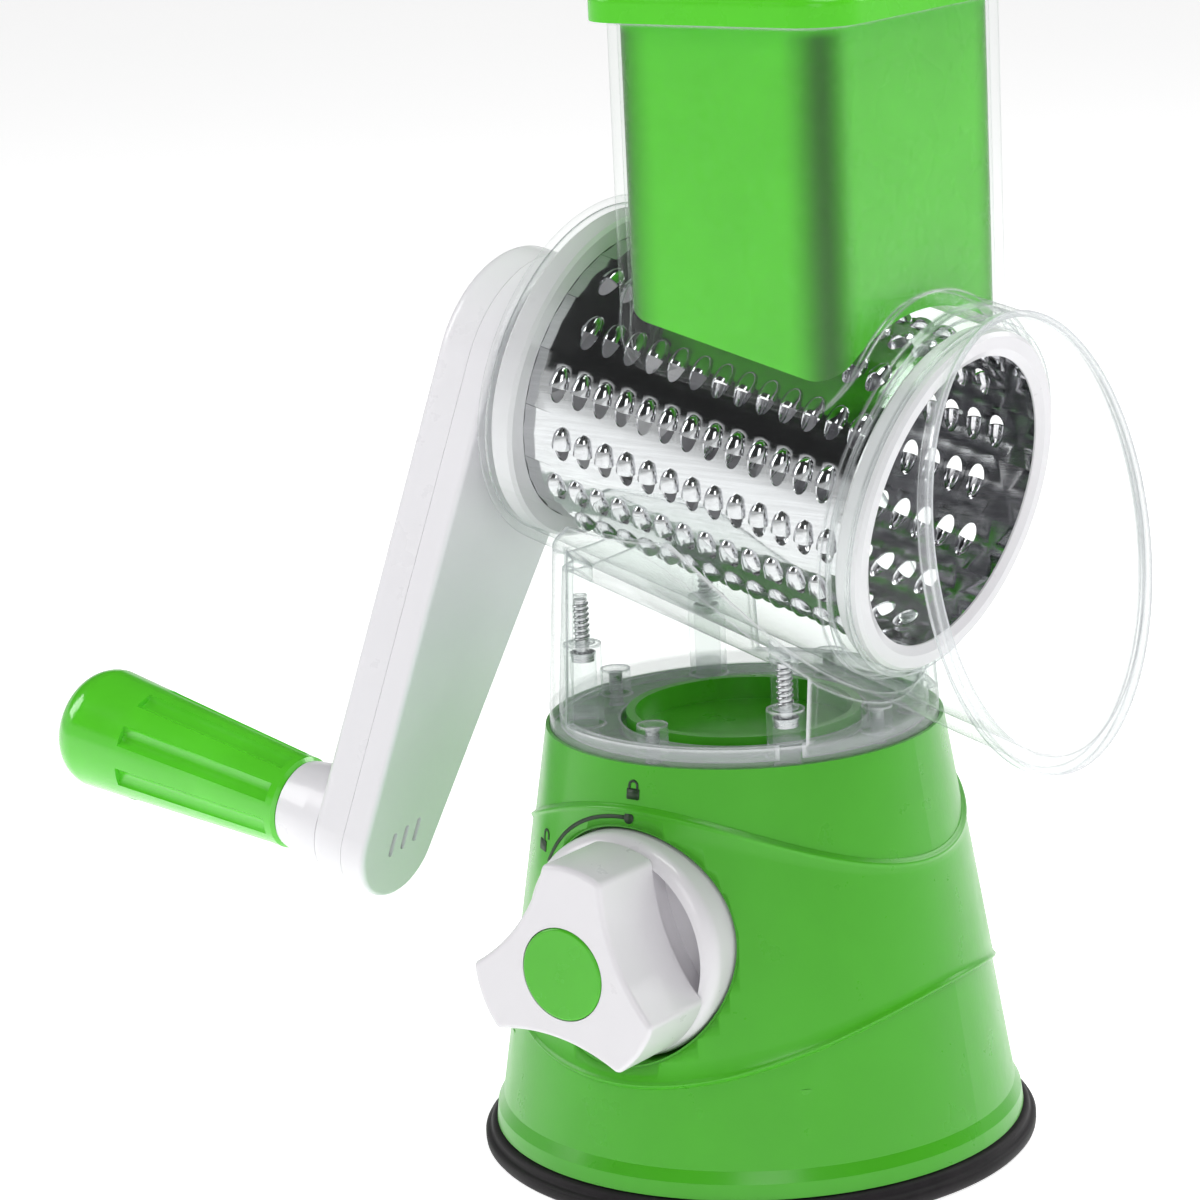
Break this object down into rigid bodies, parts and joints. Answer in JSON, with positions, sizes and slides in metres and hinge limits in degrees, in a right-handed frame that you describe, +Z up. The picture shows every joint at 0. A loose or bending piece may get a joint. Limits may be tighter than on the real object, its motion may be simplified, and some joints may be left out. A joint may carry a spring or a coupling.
{
  "type": "rotary cheese grater",
  "caption": "Hand-cranked drum grater on a suction base: a crank turns a toothed steel drum in a clear barrel under a square hopper with a pusher, and a knob raises the suction pad.",
  "frame": {"origin": "centre of the base underside, on the table", "axes": "+Z up, +X towards the outlet, -X the crank, -Y the side of the suction knob; the drum axis lies in the XZ plane and falls 13.3 degrees towards +X"},
  "size_m": [0.2537, 0.1343, 0.2606],
  "materials": {
    "green_plastic": "glossy moulded plastic",
    "white_plastic": "glossy moulded plastic",
    "clear_plastic": "transparent polished plastic",
    "pad_rubber": "smooth dark rubber",
    "blade_steel": "stamped stainless steel sheet",
    "screw_steel": "plain steel"
  },
  "bodies": {
    "base": {"base_shell": "green_plastic", "base_floor": "green_plastic", "floor_screws": "screw_steel", "suction_pad": "pad_rubber", "return_spring": "screw_steel", "cam_bracket": "white_plastic", "bracket_screws": "screw_steel", "clear_stand": "clear_plastic", "stand_screws": "screw_steel", "housing_screws": "screw_steel", "clear_housing": "clear_plastic", "crank_bush": "white_plastic"},
    "crank": {"crank_shaft": "white_plastic", "crank_arm": "white_plastic", "crank_cover": "white_plastic", "crank_screws": "screw_steel", "handle_spindle": "screw_steel", "grip_clip": "screw_steel"},
    "grip": {"handle_grip": "green_plastic"},
    "drum": {"drum_blade": "blade_steel", "drum_front_ring": "white_plastic", "drum_rear_hub": "white_plastic"},
    "pusher": {"pusher": "green_plastic"},
    "knob": {"knob": "white_plastic", "knob_cap": "green_plastic", "knob_screw": "screw_steel", "cam_shaft": "screw_steel", "shaft_clip": "screw_steel"},
    "lift": {"lift_stem": "white_plastic", "pad_stud": "screw_steel"}
  },
  "joints": [
    {"name": "crank_spin", "type": "hinge", "parent": "base", "child": "crank", "pos_m": [0, 0, 0.1637], "axis": [0.9732, 0, -0.23], "continuous": true},
    {"name": "drum_pull", "type": "slide", "parent": "crank", "child": "drum", "axis": [0.9732, 0, -0.23], "range_m": [0, 0.135]},
    {"name": "grip_spin", "type": "hinge", "parent": "crank", "child": "grip", "pos_m": [-0.07828, -0.0355, 0.06815], "axis": [0.9845, 0, -0.1754], "continuous": true},
    {"name": "pusher_lift", "type": "slide", "parent": "base", "child": "pusher", "axis": [0, 0, 1], "range_m": [0, 0.09]},
    {"name": "knob_turn", "type": "hinge", "parent": "base", "child": "knob", "pos_m": [0, 0, 0.0577], "axis": [0, 1, 0], "range_deg": [0, 90]},
    {"name": "suction_lift", "type": "slide", "parent": "base", "child": "lift", "axis": [0, 0, 1], "range_m": [0, 0.004], "deforming": ["return_spring", "suction_pad"]}
  ],
  "couplings": [
    {"joint": "knob_turn", "follows": "suction_lift", "rad_per_m": 392.7}
  ]
}
